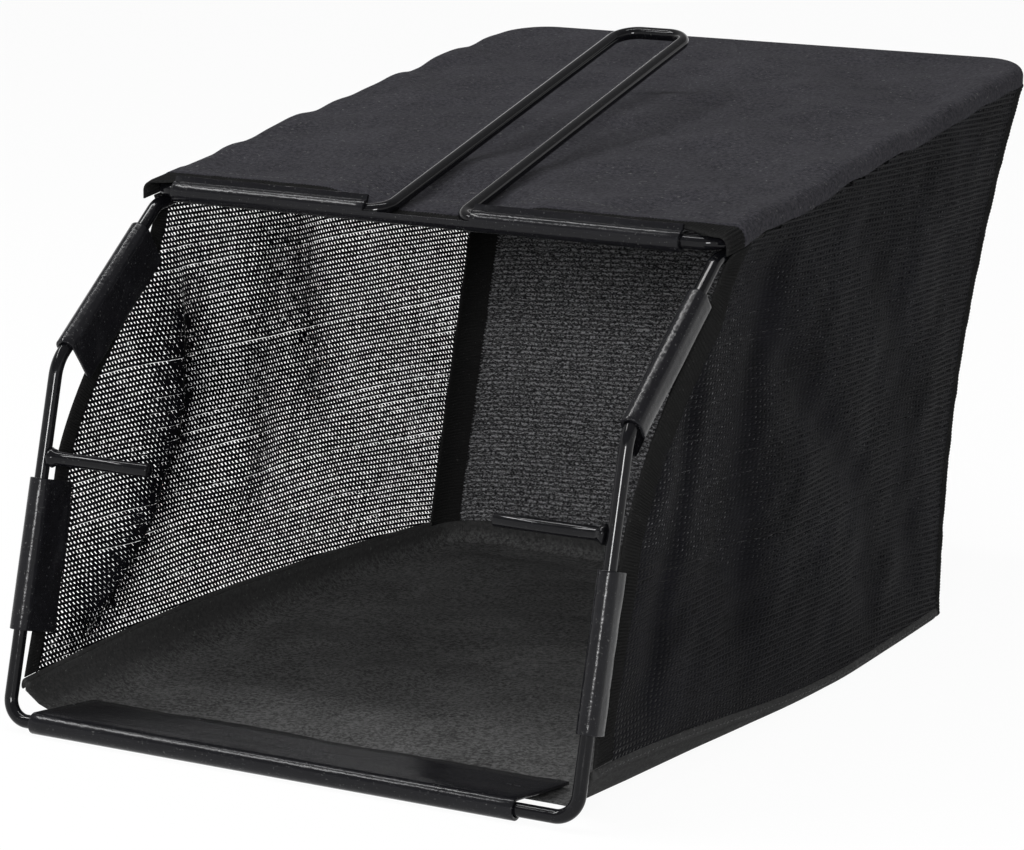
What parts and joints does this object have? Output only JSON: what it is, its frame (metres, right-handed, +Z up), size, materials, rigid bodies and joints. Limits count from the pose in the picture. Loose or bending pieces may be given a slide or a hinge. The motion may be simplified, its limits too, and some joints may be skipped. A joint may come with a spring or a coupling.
{
  "type": "grass collection bag",
  "caption": "Open-fronted grass bag: bent steel rod frame with a top handle loop, plastic clip strips, see-through mesh sides and solid canvas top, back and floor",
  "frame": {"origin": "middle of the outer box in plan, at ground level", "axes": "X across the mouth to the right as seen from the front, Y from the mouth to the back, Z up"},
  "size_m": [0.394, 0.634, 0.3734],
  "materials": {
    "black_gloss_paint": "gloss",
    "black_clip_plastic": "satin, scuffed",
    "charcoal_canvas": "fine weave",
    "floor_canvas": "fine weave",
    "black_mesh_knit": "open knit",
    "ribbed_tape": "ribbed knit"
  },
  "bodies": {
    "root": {"mouth_frame_rod": "black_gloss_paint", "top_loop_and_handle_rod": "black_gloss_paint", "hanging_pin_left": "black_gloss_paint", "hanging_pin_right": "black_gloss_paint", "clip_strip_top": "black_clip_plastic", "clip_strip_bottom": "black_clip_plastic", "clip_strip_lower_left": "black_clip_plastic", "clip_strip_lower_right": "black_clip_plastic", "clip_strip_upper_left": "black_clip_plastic", "clip_strip_upper_right": "black_clip_plastic", "top_panel": "charcoal_canvas", "back_panel": "charcoal_canvas", "floor_panel": "floor_canvas", "floor_welt_left": "floor_canvas", "floor_welt_right": "floor_canvas", "mesh_side_left": "black_mesh_knit", "mesh_side_right": "black_mesh_knit", "hem_tape_top": "ribbed_tape", "hem_tape_left": "ribbed_tape", "hem_tape_right": "ribbed_tape", "corner_band_left": "ribbed_tape", "corner_band_right": "ribbed_tape"}
  },
  "joints": []
}
